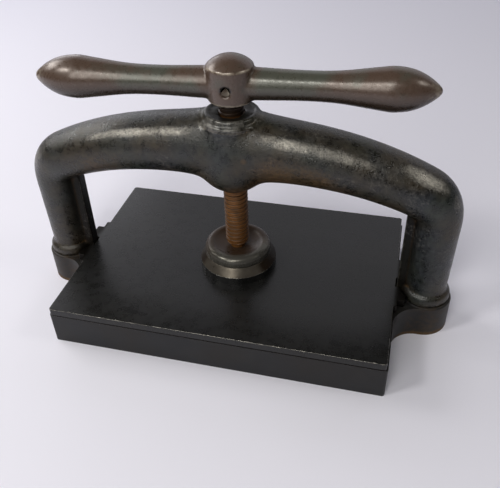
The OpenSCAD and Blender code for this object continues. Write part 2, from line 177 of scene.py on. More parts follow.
world = bpy.data.worlds.new("pale_room")
world.use_nodes = True
room = world.node_tree.nodes["Background"]
plug(world.node_tree, room, {"Color": linear("#d9d8e2"), "Strength": 0.06})
scene.world = world
scene.view_settings.view_transform = "Standard"
print("floor:", floor.name, "room:", world.name)

# %% [markdown]
# ## Lamps
#
# Soft rectangular lamps do what windows and pale walls do: a big one gives a wide sheen, a small one a
# narrow streak. Those on the left and in front light the paper and draw the streaks on arms, shoulders and
# handle. A small one lights the right leg, a weak one the far side from the back left, and a wide wall
# behind shows in the polished top of the platen. The camera doesn't see the lamps themselves. Each row is a
# name, a place, the point it is turned to, its two sides, all in millimetres, its power in watts and its
# colour.

# %% Lamps
LAMPS = [
    ("left_window", (-908, 160, 730), (0, 0, 120), (600, 350), 4.9, "#fffdfa"),
    ("left_lamp", (-728, -611, 1017), (0, 0, 130), (260, 220), 4.6, "#fffdf8"),
    ("front_top_window", (0, -870, 1100), (0, 0, 130), (400, 200), 3, "#fffdf7"),
    ("front_window", (-234, -1101, 780), (0, 0, 150), (500, 600), 4.2, "#fffdf7"),
    ("right_window", (910, -20, 900), (0, 0, 110), (240, 240), 1.5, "#fffdf6"),
    ("back_wall", (-50, 1400, 800), (0, 450, 0), (3200, 1500), 9, "#f6f5fc"),
    ("back_left_window", (-900, 900, 500), (0, 0, 60), (700, 500), 1.6, "#fafaff"),
]

for name, stand, aim, sides, watts, colour in LAMPS:
    light = bpy.data.lights.new(name, "AREA")
    light.shape = "RECTANGLE"
    light.size, light.size_y = (side * MM for side in sides)
    light.energy = watts
    light.color = linear(colour)[:3]
    lamp = bpy.data.objects.new(name, light)
    lamp.location = Vector(stand) * MM
    lamp.rotation_euler = (Vector(aim) - Vector(stand)).to_track_quat("-Z", "Y").to_euler()
    lamp.visible_camera = False
    scene.collection.objects.link(lamp)

# %% [markdown]
# ## Castings
#
# A sand casting has no sharp edge: every corner has a small fillet, because sharp sand would crumble.
# Bevelling hundreds of edges of a swept shape is fragile. It is simpler to copy the mesh, remesh it into
# small even squares, and let the points relax towards their neighbours. The same relaxing shows where the
# surface stands out or sinks in: those places are stored as two values, edge and nook, and the finishes
# put wear and rust there.

# %% Helpers for points
def per_point(mesh, what):
    """One row of three numbers for each point: its place, "co", or the way it faces, "normal"."""
    values = np.empty(len(mesh.vertices) * 3)
    mesh.vertices.foreach_get(what, values)
    return values.reshape(-1, 3)


def move_points(mesh, points):
    """Puts every point of the mesh at its new place."""
    mesh.vertices.foreach_set("co", points.ravel())
    mesh.update()


def relaxed(mesh, points, rounds, share=1):
    """The points after they moved half-way to the middle of their neighbours, each by its own share."""
    ends = np.empty(len(mesh.edges) * 2, int)
    mesh.edges.foreach_get("vertices", ends)
    start, end = ends.reshape(-1, 2).T
    many = len(points)
    count = np.bincount(ends, minlength=many)[:, None]
    step = 0.5 * np.broadcast_to(share, many)[:, None]
    for _ in range(rounds):
        total = np.stack([
            np.bincount(start, points[end, axis], many) + np.bincount(end, points[start, axis], many)
            for axis in range(3)
        ], axis=1)
        points = points + step * (total / count - points)
    return points


print("point helpers ready")

# %% Helpers for marks
def ramp(values, low, high):
    """0 below low, 1 above high, and a straight rise between them. It falls if low is above high."""
    return np.clip((values - low) / (high - low), 0, 1)


def store(mesh, name, values):
    """Keeps one number per point for the finishes to read. Where nothing is stored, they read 0."""
    layer = mesh.attributes.new(name, "FLOAT", "POINT")
    layer.data.foreach_set("value", values.astype(np.float32))


def mark_relief(mesh, rounds, low, high, dip):
    """Stores edge, where the surface stands out of its surroundings, and nook, where it sinks in."""
    points = per_point(mesh, "co")
    moved = points - relaxed(mesh, points, rounds)
    height_mm = (moved * per_point(mesh, "normal")).sum(axis=1) / MM
    store(mesh, "edge", ramp(height_mm, low, high))
    store(mesh, "nook", ramp(-height_mm, dip, high))


print("mark helpers ready")

# %% [markdown]
# Three more helpers take a CAD node to a finished piece. The copy's seams are joined first, because a mesh
# that comes apart along its seams can't be remeshed or bevelled. The new piece rides on its body and
# stands for the node, which stays where it is, hidden.

# %% Helpers for pieces
SEAM = 0.001 * MM


def joined_mesh(node):
    """A copy of a CAD node's mesh, with the seams between its faces joined."""
    work = bmesh.new()
    work.from_mesh(nodes[node].data)
    bmesh.ops.remove_doubles(work, verts=work.verts, dist=SEAM)
    mesh = bpy.data.meshes.new(node + "_copy")
    work.to_mesh(mesh)
    work.free()
    if "custom_normal" in mesh.attributes:
        mesh.attributes.remove(mesh.attributes["custom_normal"])
    return mesh


def remeshed(mesh, square):
    """The mesh made anew from even squares of that size."""
    helper = bpy.data.objects.new("helper", mesh)
    scene.collection.objects.link(helper)
    change = helper.modifiers.new("even squares", "REMESH")
    change.mode = "VOXEL"
    change.voxel_size = square
    dressed = helper.evaluated_get(bpy.context.evaluated_depsgraph_get())
    result = bpy.data.meshes.new_from_object(dressed)
    bpy.data.objects.remove(helper)
    return result


def new_piece(name, mesh, body, finish, replaced):
    """Links a mesh as a piece that rides on a body in place of CAD nodes."""
    piece = bpy.data.objects.new(name, mesh)
    scene.collection.objects.link(piece)
    mesh.materials.clear()
    mesh.materials.append(finish)
    mesh.shade_smooth()
    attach(piece, body)
    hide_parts(*replaced)
    return piece


print("piece helpers ready")

# %% [markdown]
# ## Old black japan on cast iron
#
# Japan is a baked black varnish, hard and a little glossy, over iron with the grain of the sand it was cast
# in. After a century its black is uneven, greenish and brown in patches. One flat black would look like
# plastic, so two tones mix in patches, a third drifts in slowly, and finer flecks and blotches make the
# whole lighter and darker.

# %% Black
CLOUD_MM = 24
DRIFT_MM = 55
# Nearly all of a noise lies between these two values.
NOISE_LOW, NOISE_HIGH = 0.38, 0.62


def japan_black(tree, place, cloud, uneven, tones, mottle):
    """The black before wear: two tones in patches, a third that drifts in, lighter and darker by mottle."""
    first, second, third = (linear(tone) for tone in tones)
    drift = add(tree, "TexNoise", {
        "Vector": place, "Scale": per_mm(DRIFT_MM), "Detail": 3, "Roughness": 0.6})
    patchy = add(tree, "MapRange", {"Value": cloud, "From Min": 0.4, "From Max": 0.6})
    drifted = add(tree, "MapRange", {"Value": drift, "From Min": 0.42, "From Max": 0.6})
    shade = add(tree, "MapRange", {
        "Value": uneven, "From Min": NOISE_LOW, "From Max": NOISE_HIGH,
        "To Min": 1 - mottle, "To Max": 1 + mottle})
    black = add(tree, "Mix", {SHARE: patchy, UNDER: first, OVER: second}, **COLOURS)
    black = add(tree, "Mix", {SHARE: drifted, UNDER: black, OVER: third}, **COLOURS)
    return add(tree, "Mix", {SHARE: 1, UNDER: black, OVER: shade}, blend_type="MULTIPLY", **COLOURS)


print("black ready")

# %% [markdown]
# Rust starts where wet stays: in nooks, on damp undersides, and most of all along the bottom edge, where
# the press stood in the wet. It comes in flecks. Small chips in the japan rust as well. Where the rust goes
# is read from the values that each piece stores, so that it follows the piece and not the picture.

# %% Rust
RUST = "#5a4222"
SPLASH_TOP = 4 * MM
SPLASH_FULL = 0.6 * MM
SPLASH_GAIN = 2


def rust_on_japan(tree, place, marks, cloud, fleck, most):
    """How much rust shows at each place, up to most, or as much as the mark of a chip says."""
    height = add(tree, "SeparateXYZ", {0: place}, out="Z")
    splash = add(tree, "MapRange", {"Value": height, "From Min": SPLASH_TOP, "From Max": SPLASH_FULL})
    damp_spot = add(tree, "Math", {0: marks["damp"], 1: cloud}, operation="MULTIPLY")
    soaked = add(tree, "Math", {0: splash, 1: marks["damp"]}, operation="MULTIPLY")
    wet = add(tree, "Math", {0: soaked, 1: SPLASH_GAIN, 2: damp_spot}, operation="MULTIPLY_ADD")
    likely = add(tree, "Math", {0: marks["nook"], 1: wet}, operation="MAXIMUM")
    flecked = add(tree, "Math", {0: likely, 1: fleck}, operation="MULTIPLY")
    rusty = add(tree, "MapRange", {"Value": flecked, "From Min": 0.1, "From Max": 0.4, "To Max": most})
    return add(tree, "Math", {0: rusty, 1: marks["chip"]}, operation="MAXIMUM")


print("rust ready")

# %% [markdown]
# Handling rubs the edges bright in flecks. Along the arms, the japan is thinned to broken streaks of bare
# iron, in which the tops of the sand grain sparkle. The streaks lie where the lamps' highlights fall, so
# they are partly wear and partly painted highlight. Edges that stay dirty are left dull.

# %% Wear and painted highlight
# Bare iron: on worn edges, and in the streaks that are partly painted highlight.
BARE_IRON_AND_SHEEN = "#aaa69d"
STREAK_MOST = 0.85


def bare_iron_and_sheen(tree, marks, cloud, fleck, grain, most):
    """How much bare iron shows: on edges up to most, and up to STREAK_MOST in streaks, partly painted
    highlight.
    """
    open_edge = add(tree, "Math", {
        0: marks["edge"], 1: marks["dulled"]}, operation="SUBTRACT", use_clamp=True)
    flecked = add(tree, "Math", {0: open_edge, 1: fleck}, operation="MULTIPLY")
    worn = add(tree, "MapRange", {"Value": flecked, "From Min": 0.25, "From Max": 0.55, "To Max": most})
    breaks = add(tree, "MapRange", {
        "Value": cloud, "From Min": 0.35, "From Max": 0.62, "To Min": 0.6, "To Max": 1.25})
    streak = add(tree, "Math", {0: marks["rubbed_and_sheen"], 1: breaks}, operation="MULTIPLY")
    sparkle = add(tree, "Math", {0: fleck, 1: grain}, operation="ADD")
    sparkling = add(tree, "Math", {0: streak, 1: sparkle}, operation="MULTIPLY")
    streak_and_sheen = add(tree, "MapRange", {
        "Value": sparkling, "From Min": 0.5, "From Max": 1.35, "To Max": STREAK_MOST})
    return add(tree, "Math", {0: worn, 1: streak_and_sheen}, operation="MAXIMUM")


print("wear ready")

# %% [markdown]
# The finish puts the layers on top of each other: black, rust, grease, bare iron. The eye gets a soft gloss
# that is broken up by the grain of the casting, a fine bump. Sand is about 0.3 mm, too fine for this
# picture, so the grain is drawn four to ten times coarser. Planed or turned places have next to none. Old
# grease is dark and hardly shines. A dark metal mirrors very little, so grease counts as metal here, as
# bare iron does. The grease layer also paints shade: along the platen's foot and on the back of the collar.
# The bare iron layer also paints highlights, in the streaks along the arms.

# %% Japanned iron
JAPAN_MARKS = ("edge", "dulled", "rubbed_and_sheen", "nook", "damp", "chip", "grease_and_shade", "machined")
# Old grease, and the same dark for painted shade.
GREASE_AND_SHADE = "#15110d"
FLECKS_PER_BLOTCH = 2.5
DULL_ROUGHNESS = 0.25
FLECK_HEIGHT = 0.5
MACHINED_OFF = 0.9


def japanned_iron(
        name, tones, roughness, spread, specular, grain_mm, grain_height_mm, fleck_mm, mottle, wear, rust):
    """Black japan over sand-cast iron. Mottle, wear and rust say how much of each shows."""
    material, tree, shader, place = new_finish(name)
    marks = {mark: add(tree, "Attribute", attribute_name=mark, out="Fac") for mark in JAPAN_MARKS}
    cloud, fleck, blotch, grain = (
        add(tree, "TexNoise", {"Vector": place, "Scale": per_mm(size), "Detail": detail, "Roughness": rough})
        for size, detail, rough in (
            (CLOUD_MM, 5, 0.6), (fleck_mm, 4, 0.65), (FLECKS_PER_BLOTCH * fleck_mm, 2, 0.5),
            (grain_mm, 3, 0.6)))
    uneven = add(tree, "Mix", {0: 0.5, 2: fleck, 3: blotch})
    black = japan_black(tree, place, cloud, uneven, tones, mottle)
    rusted = rust_on_japan(tree, place, marks, cloud, fleck, rust)
    bare_and_sheen = bare_iron_and_sheen(tree, marks, cloud, fleck, grain, wear)
    colour = add(tree, "Mix", {SHARE: rusted, UNDER: black, OVER: linear(RUST)}, **COLOURS)
    colour = add(tree, "Mix", {SHARE: marks["grease_and_shade"], UNDER: colour, OVER: linear(GREASE_AND_SHADE)}, **COLOURS)
    colour = add(tree, "Mix", {SHARE: bare_and_sheen, UNDER: colour, OVER: linear(BARE_IRON_AND_SHEEN)}, **COLOURS)

    gloss = add(tree, "MapRange", {
        "Value": uneven, "From Min": NOISE_LOW, "From Max": NOISE_HIGH,
        "To Min": roughness - spread, "To Max": roughness + spread})
    dull = add(tree, "Math", {0: rusted, 1: marks["grease_and_shade"]}, operation="MAXIMUM")
    rough = add(tree, "Math", {0: dull, 1: DULL_ROUGHNESS, 2: gloss}, operation="MULTIPLY_ADD")
    metal = add(tree, "Math", {0: bare_and_sheen, 1: marks["grease_and_shade"]}, operation="MAXIMUM")
    relief = add(tree, "Math", {0: fleck, 1: FLECK_HEIGHT, 2: grain}, operation="MULTIPLY_ADD")
    grainy = add(tree, "Math", {0: marks["machined"], 1: -MACHINED_OFF, 2: 1}, operation="MULTIPLY_ADD")
    bump = add(tree, "Bump", {"Height": relief, "Distance": grain_height_mm * MM, "Strength": grainy})
    plug(tree, shader, {
        "Base Color": colour, "Roughness": rough, "Metallic": metal, "Normal": bump,
        "Specular IOR Level": specular})
    return material


print("japan ready")

# %% [markdown]
# The same finish serves three castings. The arch was never smoothed, so its grain is deep and its black
# patchy. The bed is finer and duller. The platen was planed before it was japanned: nearly smooth, and so
# glossy that the room shows in it.

# %% Three castings
frame_iron = japanned_iron(
    "japanned_cast_iron", ("#262a25", "#222528", "#2d271d"), roughness=0.32, spread=0.1, specular=0.5,
    grain_mm=1.2, grain_height_mm=0.34, fleck_mm=2.8, mottle=0.5, wear=0.45, rust=0.9)
bed_iron = japanned_iron(
    "japanned_bed_iron", ("#1a1b1d", "#1e1e1f", "#1d1b19"), roughness=0.45, spread=0.05, specular=0.35,
    grain_mm=1.5, grain_height_mm=0.06, fleck_mm=4, mottle=0.2, wear=0.75, rust=0.8)
platen_iron = japanned_iron(
    "japanned_planed_iron", ("#171717", "#1a1a1b", "#181817"), roughness=0.29, spread=0.04, specular=0.42,
    grain_mm=3, grain_height_mm=0.008, fleck_mm=3.5, mottle=0.2, wear=0.9, rust=0.3)
print("finishes:", frame_iron.name, bed_iron.name, platen_iron.name)

# %% [markdown]
# ## The arch
#
# The arch is one casting: legs, shoulders, arms and the boss that the screw runs in. The arms flow into the
# boss with wide fillets, so the points near it relax for many rounds. The moulded collar, the beads at the
# feet, the guide ribs and the bore keep their shape: there the points hardly move, and the bore is then
# pushed back to its true radius. Places in this step and the next two are written in millimetres, as on a
# drawing. A number times MM is in metres.

# %% Arch shape
ARCH_SQUARE = 0.95 * MM
BORE_R = 9.3
LEG_X = 150
COLLAR_LOW = 160.2
COLLAR_R = 25
BEAD_TOP = 35.8
BOSS_FOOT = 90
SHOULDER_LOW = 98
HELD_BACK = 0.97

arch_mesh = remeshed(joined_mesh("arch"), ARCH_SQUARE)
points = per_point(arch_mesh, "co")
x, y, z = points.T / MM
from_axis = np.hypot(x, y)
from_leg = np.hypot(np.abs(x) - LEG_X, y)
collar = ramp(from_axis, COLLAR_R + 0.5, COLLAR_R - 1.6) * ramp(z, COLLAR_LOW - 1.8, COLLAR_LOW + 0.2)
bead = ramp(z, BEAD_TOP + 4, BEAD_TOP + 1)
# A guide rib stands off its leg, on the inner side and below the shoulder.
rib = ramp(from_leg, 14.5, 16.5) * ramp(np.abs(x), 139, 136) * ramp(z, SHOULDER_LOW + 6, SHOULDER_LOW)
bore = ramp(from_axis, BORE_R + 3.7, BORE_R + 0.7) * (z > BOSS_FOOT)
crisp = np.maximum.reduce([collar, bead, rib, bore])
points = relaxed(arch_mesh, points, rounds=3)
points = relaxed(arch_mesh, points, rounds=45, share=1 - HELD_BACK * crisp)
# The last stretch of the arms and the boss, but not the legs, relax further.
near_boss = ramp(np.abs(points[:, 0]) / MM, 62, 40) * ramp(z, SHOULDER_LOW, SHOULDER_LOW + 8)
points = relaxed(arch_mesh, points, rounds=90, share=near_boss * (1 - crisp))

from_axis = np.hypot(points[:, 0], points[:, 1]) / MM
in_bore = (from_axis < BORE_R) & (points[:, 2] / MM > BOSS_FOOT)
points[in_bore, :2] *= (BORE_R / from_axis[in_bore])[:, None]
move_points(arch_mesh, points)
mark_relief(arch_mesh, rounds=14, low=0.2, high=0.65, dip=0.06)
print("arch points:", len(points), "in the bore:", in_bore.sum())

# %% [markdown]
# Now the arch gets its history, one value per point. Undersides are damp, most of all right of the boss,
# and two brown patches sit low on the arms: each row gives a patch's middle, its reach to either side, how
# much of that is at full strength, and how strong it is. One small chip sits on the boss.

# %% Damp on the arch
DAMPEST_X = 40
BROWN_PATCHES = [(48, 42, 15, 1), (-95, 35, 10, 0.7)]
CHIP_AT = np.array((13.5, -23.8, 141.8))
CHIP_RUST = 0.4

x, y, z = points.T / MM
facing = per_point(arch_mesh, "normal")
underside = ramp(facing[:, 2], 0.15, -0.75) * (0.5 + 0.5 * ramp(np.abs(x - DAMPEST_X), 80, 15))
patches = np.maximum.reduce([
    amount * ramp(np.abs(x - middle), reach, full) for middle, reach, full, amount in BROWN_PATCHES])
damp = np.maximum(underside, patches * ramp(facing[:, 2], 0.5, -0.15))
store(arch_mesh, "damp", damp)
store(arch_mesh, "chip", CHIP_RUST * ramp(np.linalg.norm(points / MM - CHIP_AT, axis=1), 2.6, 1.4))
print("damp points:", (damp > 0).sum())

# %% [markdown]
# Streaks along the arms and shoulders lie where the lamps' highlights fall: each row gives the way a streak
# faces, where it starts and ends along the press, half its width as an angle, and how strong it is. They
# are bare iron, partly rubbed wear and partly painted highlight. The collar was turned and is rubbed too,
# but its dish and its back are darkened with grease, partly as painted shade, so that no bright rim shows
# there. The guide ribs are greasy.

# %% Streaks of wear and highlight, grease and shade
RUBBED_SHEEN_STREAKS = [
    ((-0.09, -0.72, 0.69), -140, -5, 0.25, 1),
    ((0.12, -0.77, 0.62), 5, 115, 0.3, 1),
    ((0.4, -0.52, 0.75), 112, 165, 0.42, 1),
    ((-0.7, -0.6, 0.4), -185, -125, 0.75, 0.62),
    ((0.85, -0.4, 0.35), 135, 190, 0.75, 0.62),
]
RUBBED_ALL_OVER = 0.4
RUBBED_COLLAR = 0.62
RUBBED_FROM_Z = 40
DISH_R = 16.4
DISH_GREASE_AND_BACK_SHADE = 0.55
RIB_GREASE = 0.7

rubbed_and_sheen = np.full(len(points), RUBBED_ALL_OVER)
# A streak lies where the surface faces a lamp's highlight: partly rubbed wear, partly painted highlight.
for towards, start, end, spread, amount in RUBBED_SHEEN_STREAKS:
    turned = facing @ np.array(Vector(towards).normalized())
    middle, half = (start + end) / 2, (end - start) / 2
    on_stretch = ramp(np.abs(x - middle), half, half / 2)
    rubbed_and_sheen = np.maximum(rubbed_and_sheen, amount * ramp(turned, math.cos(spread), 1) * on_stretch)
rubbed_and_sheen *= z > RUBBED_FROM_Z

from_axis = np.hypot(x, y)
on_collar = ramp(z, COLLAR_LOW - 2, COLLAR_LOW) * (from_axis < COLLAR_R)
# The dish is greasy, and it and the collar's back are painted dark, partly as shade, so no bright rim shows.
dirt_and_shade = np.maximum(ramp(from_axis, DISH_R + 1.6, DISH_R), ramp(y, 0, 8)) * on_collar
store(arch_mesh, "machined", on_collar)
store(arch_mesh, "rubbed_and_sheen", np.maximum(rubbed_and_sheen, RUBBED_COLLAR * on_collar) * (1 - dirt_and_shade))
store(arch_mesh, "grease_and_shade", np.maximum(DISH_GREASE_AND_BACK_SHADE * dirt_and_shade, RIB_GREASE * rib))
new_piece("arch_casting", arch_mesh, "frame", frame_iron, ["arch"])
print("rubbed points:", (rubbed_and_sheen > RUBBED_ALL_OVER).sum())

# %% [markdown]
# ## Flat castings and turned pieces
#
# The bed, the platen and the turned collar have true flat faces and crisp corners, so a remesh would only
# spoil them. Their outer corners get a narrow bevel instead. The bevel's middle row of points is marked as
# edge: wear starts exactly there, and the flat faces stay clean.

# %% Helpers for bevelled copies
FLAT = math.radians(0.5)
CORNER = math.radians(25)
CREASE = math.radians(60)


def bevelled_mesh(node, width):
    """A copy of a CAD node whose outer corners are bevelled, with the bevel's middle marked as edge."""
    work = bmesh.new()
    work.from_mesh(joined_mesh(node))
    bmesh.ops.dissolve_limit(work, angle_limit=FLAT, verts=work.verts, edges=work.edges)
    corners = [e for e in work.edges if e.is_manifold and e.is_convex and e.calc_face_angle() > CORNER]
    made = bmesh.ops.bevel(
        work, geom=corners, offset=width, offset_type="OFFSET", segments=2, profile=0.5,
        affect="EDGES", clamp_overlap=True)
    strip = set(made["faces"])
    work.verts.index_update()
    middle = [v.index for v in made["verts"] if v.is_valid and all(f in strip for f in v.link_faces)]
    bmesh.ops.triangulate(work, faces=[f for f in work.faces if len(f.verts) > 4])
    mesh = bpy.data.meshes.new(node + "_bevelled")
    work.to_mesh(mesh)
    work.free()
    edge = np.zeros(len(mesh.vertices))
    edge[middle] = 1
    store(mesh, "edge", edge)
    return mesh


def bevelled_piece(node, name, body, finish, width):
    """A bevelled copy that stands for its CAD node."""
    piece = new_piece(name, bevelled_mesh(node, width), body, finish, [node])
    piece.data.set_sharp_from_angle(angle=CREASE)
    shading = piece.modifiers.new("flat faces", "WEIGHTED_NORMAL")
    shading.keep_sharp = True
    shading.weight = 100
    return piece


print("bevel helpers ready")

# %% Helpers for cuts
def everything(work):
    """All points, edges and faces of a mesh in work."""
    return work.verts[:] + work.edges[:] + work.faces[:]


def cut_row(mesh, place, direction):
    """Cuts a row of points into a mesh across a direction, so that a shape or a value can change there."""
    work = bmesh.new()
    work.from_mesh(mesh)
    bmesh.ops.bisect_plane(work, geom=everything(work), plane_co=place, plane_no=direction)
    work.to_mesh(mesh)
    work.free()


print("cut helpers ready")

# %% [markdown]
# The bed's lugs are damp, so they rust along the bottom edge. On the platen, a dark line runs along its
# foot, where it meets the bed: painted shade for the narrow gap between the two, in the grease colour. Its
# ears are greasy from the guide ribs. The line needs two rows of points of its own, because a stored value
# can only change from one point to the next.

# %% Bed and platen
CASTING_BEVEL = 0.9 * MM
# Where the painted shade along the platen's foot is full, and where it ends.
FOOT_SHADE_FULL = 1.1 * MM
FOOT_SHADE_END = 1.5 * MM
EAR_GREASE = 0.8
LUG_DAMP = 0.5

bed = bevelled_piece("bed", "bed_casting", "frame", bed_iron, CASTING_BEVEL)
on_lug = ramp(np.abs(per_point(bed.data, "co")[:, 0]), 128 * MM, 138 * MM)
store(bed.data, "damp", LUG_DAMP * on_lug)

platen = bevelled_piece("platen", "platen_casting", "platen", platen_iron, CASTING_BEVEL)
platen_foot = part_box("platen")[0].z
for rise in (FOOT_SHADE_FULL, FOOT_SHADE_END):
    cut_row(platen.data, Vector((0, 0, platen_foot + rise)), Vector((0, 0, 1)))
x, _, z = per_point(platen.data, "co").T
on_ear = ramp(np.abs(x), 127.2 * MM, 127.6 * MM)
foot_shade_line = ramp(z - platen_foot, FOOT_SHADE_END, FOOT_SHADE_FULL)
# Painted shade along the foot, and grease on the ears.
store(platen.data, "grease_and_shade", np.maximum(foot_shade_line, EAR_GREASE * on_ear))
store(platen.data, "dulled", on_ear)
print("bed faces:", len(bed.data.polygons), "platen faces:", len(platen.data.polygons))

# %% [markdown]
# ## The collar
#
# The flange is turned iron: dark brown, bare at the front, and darker at the back. The cap above it is
# oiled dark, with a barer rim in front. The eye gets a metal shine only where the iron is clean. How bare a
# place is comes as a value per point, and a cloudy noise breaks it up; on the pin's face the same value
# paints a highlight on one half and shade on the other.
# Lathe rings are about 0.1 mm apart, too fine for this picture, so they are drawn about thirty times
# coarser.

# %% Turned iron
# A wave texture at scale 1 draws its rings this far apart.
WAVE_LENGTH = 2 * math.pi / 20
WORN_EDGE = "#a39c90"
NOISE_MIDDLE = 0.5
STAIN_SWING = 1.6
SMOOTHER, ROUGHER = 0.07, 0.12


def turned_iron(name, tone, stain, metallic, roughness, specular, ring_mm, ring_height_mm, stain_mm):
    """Iron as the lathe left it, with rings round the Z axis: tone where it is bare, stain elsewhere."""
    material, tree, shader, place = new_finish(name)
    edge, bare_and_sheen = (add(tree, "Attribute", attribute_name=mark, out="Fac") for mark in ("edge", "bare_and_sheen"))
    rings = add(tree, "TexWave", {
        "Vector": place, "Scale": WAVE_LENGTH * per_mm(ring_mm), "Distortion": 1.5, "Detail": 2},
        wave_type="RINGS", rings_direction="Z", out="Fac")
    cloud = add(tree, "TexNoise", {
        "Vector": place, "Scale": per_mm(stain_mm), "Detail": 5, "Roughness": 0.65})
    swing = add(tree, "Math", {0: cloud, 1: -NOISE_MIDDLE}, operation="ADD")
    clean_and_sheen = add(tree, "Math", {0: swing, 1: STAIN_SWING, 2: bare_and_sheen}, operation="MULTIPLY_ADD", use_clamp=True)
    worn = add(tree, "MapRange", {"Value": edge, "From Min": 0.3, "From Max": 1, "To Max": 0.4})
    colour = add(tree, "Mix", {SHARE: clean_and_sheen, UNDER: linear(stain), OVER: linear(tone)}, **COLOURS)
    colour = add(tree, "Mix", {SHARE: worn, UNDER: colour, OVER: linear(WORN_EDGE)}, **COLOURS)
    rough = add(tree, "MapRange", {
        "Value": cloud, "From Min": 0.35, "From Max": 0.65,
        "To Min": roughness - SMOOTHER, "To Max": roughness + ROUGHER})
    metal = add(tree, "Math", {0: clean_and_sheen, 1: metallic}, operation="MULTIPLY")
    bump = add(tree, "Bump", {"Height": rings, "Distance": ring_height_mm * MM, "Strength": 1})
    plug(tree, shader, {
        "Base Color": colour, "Roughness": rough, "Metallic": metal, "Normal": bump,
        "Specular IOR Level": specular})
    return material


bare_iron = turned_iron(
    "bare_turned_iron", "#635d54", "#241c14", metallic=0.75, roughness=0.34, specular=0.2,
    ring_mm=3.14, ring_height_mm=0.02, stain_mm=9)
oiled_iron = turned_iron(
    "oiled_turned_iron", "#5c5a54", "#36291f", metallic=0.6, roughness=0.26, specular=0.2,
    ring_mm=3.77, ring_height_mm=0.012, stain_mm=16)
print("finishes:", bare_iron.name, oiled_iron.name)

# %% Collar
FLANGE_BEVEL = 0.3 * MM
CAP_BEVEL = 0.25 * MM
FRONT_BARE = 1.1
BACK_DARKER = 0.6
OILED_DISH = 0.2

flange = bevelled_piece("collar_flange", "turned_flange", "platen", bare_iron, FLANGE_BEVEL)
y = per_point(flange.data, "co")[:, 1] / MM
store(flange.data, "bare_and_sheen", FRONT_BARE * ramp(y, -14, -23) - BACK_DARKER * ramp(y, -17, -10))

cap = bevelled_piece("collar_cap", "dished_cap", "platen", oiled_iron, CAP_BEVEL)
x, y, _ = per_point(cap.data, "co").T / MM
on_rim = ramp(np.hypot(x, y), 17, 22)
in_front = ramp(y - 0.5 * x, 2, -14)
store(cap.data, "bare_and_sheen", on_rim * in_front - OILED_DISH * (1 - on_rim))
print("flange faces:", len(flange.data.polygons), "cap faces:", len(cap.data.polygons))

# %% [markdown]
# ## The screw
#
# The thread is square, worn round and right-handed. A bump or a stack of rings wouldn't climb, so its
# surface is one strip that follows the helix: a profile of a few points across one pitch is carried round,
# and each turn is sewn to the one above it. Each row of the profile is a share of the pitch, a height
# between root and crest, and how dark it is painted there: most at the two flanks, partly grease and partly
# painted shade under the crests.

# %% Thread
PITCH_MM = 3.75
THREAD_DEPTH = 0.8 * MM
TURN_STEPS = 56
TURNS_BELOW, TURNS_ABOVE = 2, 1
PROFILE = [
    (0.0, 0.0, 1), (0.07, 0.8, 1), (0.13, 1.0, 1), (0.18, 1.0, 0), (0.42, 1.0, 0), (0.46, 1.0, 0.8),
    (0.51, 0.8, 0.8), (0.58, 0.0, 0.8), (0.63, 0.0, 0), (0.9, 0.0, 0), (0.94, 0.0, 1),
]
NECK_LENGTH = 13.5 * MM
TENON_LENGTH = 20 * MM
CLEAN_START = 1.5 * MM

screw_low, screw_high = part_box("screw")
crest_r = (screw_high.x - screw_low.x) / 2
thread_low = screw_low.z + NECK_LENGTH
thread_high = screw_high.z - TENON_LENGTH
pitch = PITCH_MM * MM


def add_helix(work):
    """Adds the thread's surface, a turn or two longer than needed at both ends."""
    groove = work.verts.layers.float.new("groove")
    turns = math.ceil((thread_high - thread_low) / pitch) + TURNS_BELOW + TURNS_ABOVE
    steps = turns * TURN_STEPS
    rows = []
    for step in range(steps + 1):
        angle = 2 * math.pi * step / TURN_STEPS
        row = []
        for along, height, thread_grease_and_shade in PROFILE:
            r = crest_r - THREAD_DEPTH * (1 - height)
            z = thread_low + pitch * (step / TURN_STEPS - TURNS_BELOW + along)
            row.append(work.verts.new((r * math.cos(angle), r * math.sin(angle), z)))
            # The flanks are painted dark: partly grease, partly painted shade under the crests.
            row[-1][groove] = thread_grease_and_shade * ramp(z, thread_low, thread_low + CLEAN_START)
        rows.append(row)
    for step in range(steps):
        here, further = rows[step], rows[step + 1]
        for k in range(len(PROFILE) - 1):
            work.faces.new((here[k], further[k], further[k + 1], here[k + 1]))
        if step + TURN_STEPS < steps:
            over, over_further = rows[step + TURN_STEPS][0], rows[step + TURN_STEPS + 1][0]
            work.faces.new((here[-1], further[-1], over_further, over))


print("thread length in mm:", round((thread_high - thread_low) / MM, 2), "crest:", round(crest_r / MM, 2))

# %% [markdown]
# Two cuts square off the strip's ends and close them, and a cone slopes the lower one, as it is turned on a
# lathe so that the thread enters its nut. The neck with the button on its foot and the tenon for the handle
# are plain turned solids that lap a little into the thread.

# %% Ends of the thread
THREAD_SLOPE = 1 * MM


def close_ends(work):
    """Cuts the thread off at both ends, closes it, and slopes its lower end."""
    for height, side in ((thread_low, -1), (thread_high, 1)):
        cut = bmesh.ops.bisect_plane(
            work, geom=everything(work), plane_co=(0, 0, height), plane_no=(0, 0, side), clear_outer=True)
        ring = [g for g in cut["geom_cut"] if isinstance(g, bmesh.types.BMEdge)]
        bmesh.ops.contextual_create(work, geom=ring)
    for v in work.verts:
        r = math.hypot(v.co.x, v.co.y)
        limit = crest_r - max(0, THREAD_SLOPE - (v.co.z - thread_low))
        if r > limit:
            v.co.x *= limit / r
            v.co.y *= limit / r
    bmesh.ops.recalc_face_normals(work, faces=work.faces[:])


work = bmesh.new()
add_helix(work)
close_ends(work)
print("thread points:", len(work.verts), "open edges:", sum(not e.is_manifold for e in work.edges))

